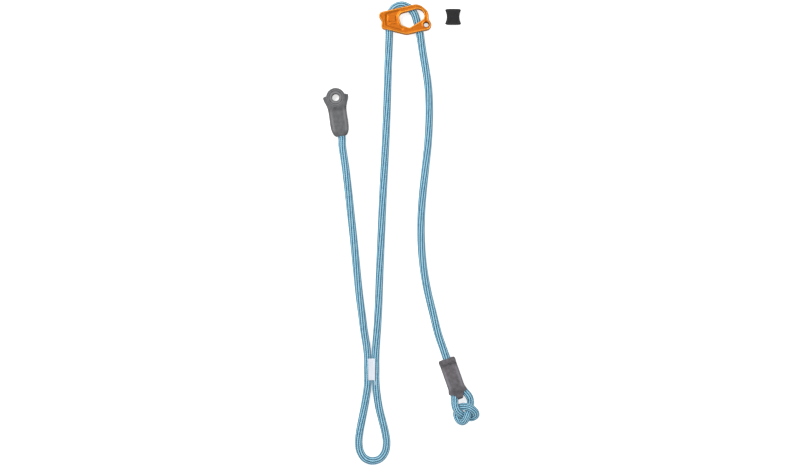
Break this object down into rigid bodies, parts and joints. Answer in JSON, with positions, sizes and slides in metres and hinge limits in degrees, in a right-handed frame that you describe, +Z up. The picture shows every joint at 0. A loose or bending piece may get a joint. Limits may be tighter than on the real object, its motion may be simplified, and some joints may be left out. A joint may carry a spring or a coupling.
{
  "type": "adjustable rope lanyard",
  "caption": "Rope lanyard with a fixed arm, a tie-in loop and an arm whose length is set by a plate adjuster; the tail ends in a sleeve and a knotted eye.",
  "frame": {"origin": "on the outer face of the adjuster's back plate, which rests on the surface, between the rope's entry and the plate's window", "axes": "+Z up from the surface, out of the adjuster's front plate; +Y along the adjustable arm, from the tie-in loop to the adjuster; +X across the adjuster, from the rope's entry to its tail"},
  "size_m": [0.1871, 0.5546, 0.0187],
  "materials": {
    "rope": "braided, light and dark blue",
    "thread": "white sewn thread",
    "anodised": "orange anodised, satin",
    "saddle_metal": "polished by the rope",
    "steel": "plain",
    "sleeve_grey": "moulded, fine grain",
    "keeper_black": "matte"
  },
  "bodies": {
    "tie_in": {"tie_in_loop_rope": "rope", "tie_in_bartack": "thread", "tie_in_bartack_back": "thread", "main_arm_rope": "rope", "fixed_arm_bend": "rope"},
    "fixed_arm": {"fixed_arm_rope": "rope", "fixed_sleeve": "sleeve_grey", "fixed_eye_rope": "rope", "fixed_eye_stitching": "thread"},
    "adjuster_rope": {"adjuster_bight_rope": "rope", "tail_rope": "rope"},
    "adjuster": {"front_cheek": "anodised", "back_cheek": "anodised", "rope_saddle": "saddle_metal", "auxiliary_bush": "anodised", "nose_post": "steel", "lower_post": "steel", "saddle_rivet_low": "steel", "saddle_rivet_high": "steel"},
    "tail_end": {"tail_sleeve": "sleeve_grey", "tail_eye_stitching": "thread", "tail_knot_rope": "rope"},
    "keeper": {"keeper": "keeper_black"}
  },
  "joints": [
    {"name": "fixed_arm_swing", "type": "hinge", "parent": "tie_in", "child": "fixed_arm", "pos_m": [-0.038, -0.374, 0.0046], "axis": [0, 0, 1], "range_deg": [-4, 80], "deforming": ["fixed_arm_bend"]},
    {"name": "adjuster_travel", "type": "slide", "parent": "tie_in", "child": "adjuster_rope", "axis": [0.0414, 0.9991, 0], "range_m": [-0.18, 0.18], "deforming": ["main_arm_rope"]},
    {"name": "tail_feed", "type": "slide", "parent": "adjuster_rope", "child": "tail_end", "axis": [-0.0842, 0.9965, 0], "range_m": [-0.18, 0.18], "deforming": ["tail_rope"]},
    {"name": "adjuster_tilt", "type": "hinge", "parent": "adjuster_rope", "child": "adjuster", "pos_m": [0.0064, 0.0046, 0.0079], "axis": [0, 0, 1], "range_deg": [-3, 10], "deforming": ["adjuster_bight_rope"]},
    {"name": "keeper_lift", "type": "slide", "parent": "tie_in", "child": "keeper", "axis": [0, 0, 1], "range_m": [0, 0.05]}
  ],
  "couplings": [
    {"joint": "tail_feed", "follows": "adjuster_travel", "ratio": 1}
  ]
}
